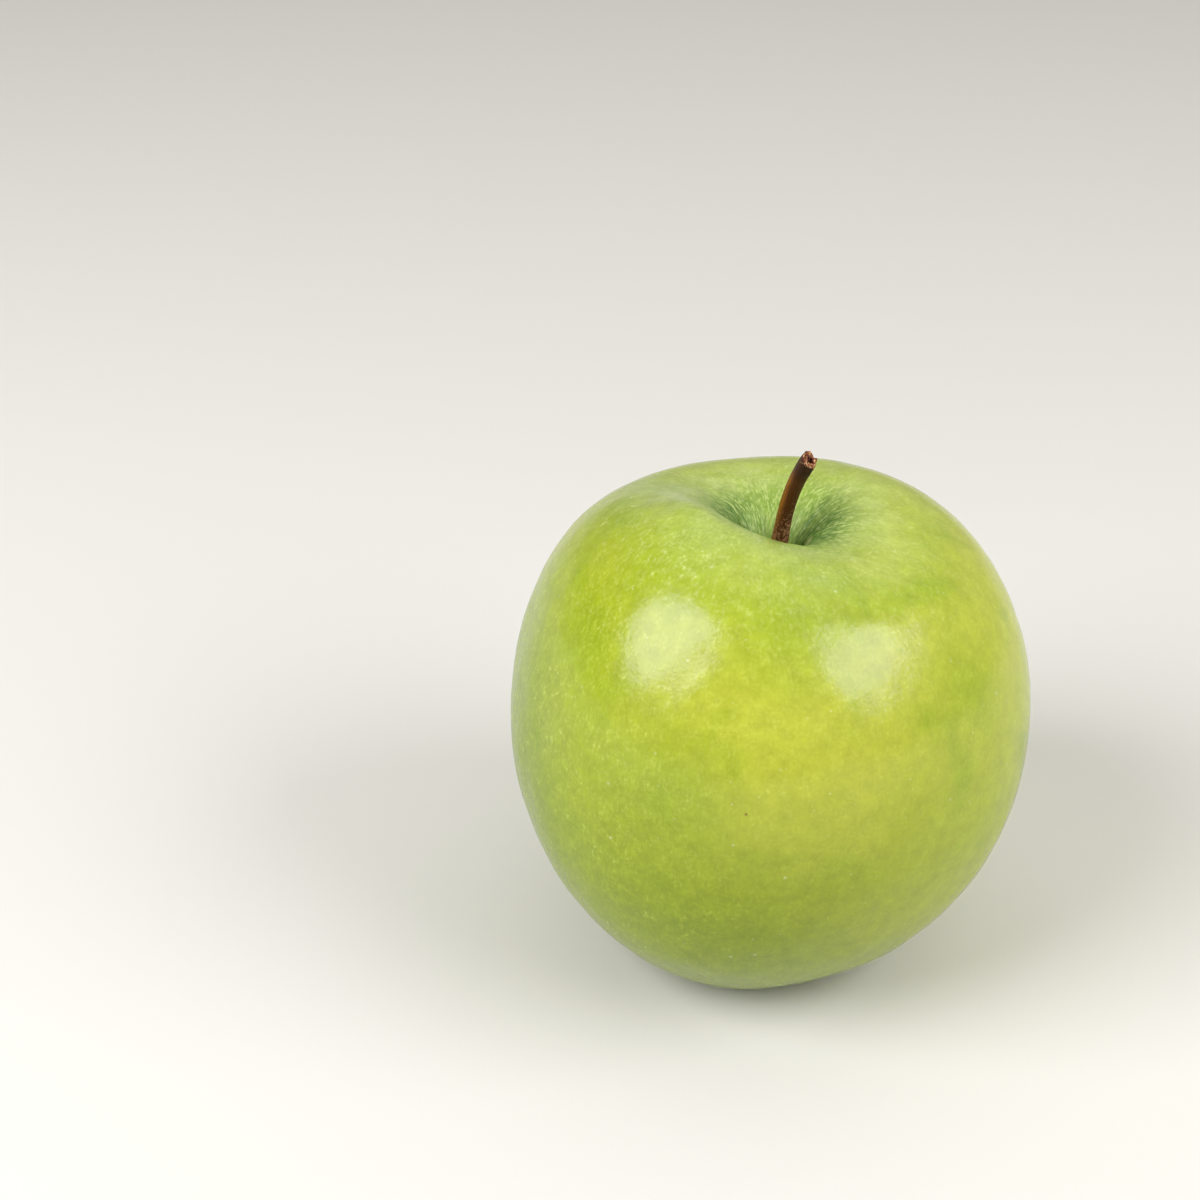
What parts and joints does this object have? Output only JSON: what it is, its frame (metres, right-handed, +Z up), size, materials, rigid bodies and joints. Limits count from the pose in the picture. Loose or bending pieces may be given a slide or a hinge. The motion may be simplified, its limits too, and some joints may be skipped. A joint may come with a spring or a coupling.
{
  "type": "green apple",
  "caption": "Whole fresh green apple with uneven shoulders, a deep stem cavity, a curved woody stem, five low feet and a dried calyx in a basin underneath.",
  "frame": {"origin": "on the surface that the apple stands on, under the middle of its outline seen from above", "axes": "+Z up along the core, -Y the front, towards which the shoulder is highest on the left, +X to the right seen from the front"},
  "size_m": [0.0782, 0.082, 0.0834],
  "materials": {
    "skin": "waxy, softly glossy yellow-green peel with pale dots and darker green round the stem",
    "stem": "thin brown bark, shiny above and scurfy at the foot, with a torn fibrous end",
    "calyx": "dry, matt, downy brown sepals"
  },
  "bodies": {
    "root": {"apple_body": "skin", "stem": "stem", "calyx": "calyx"}
  },
  "joints": []
}
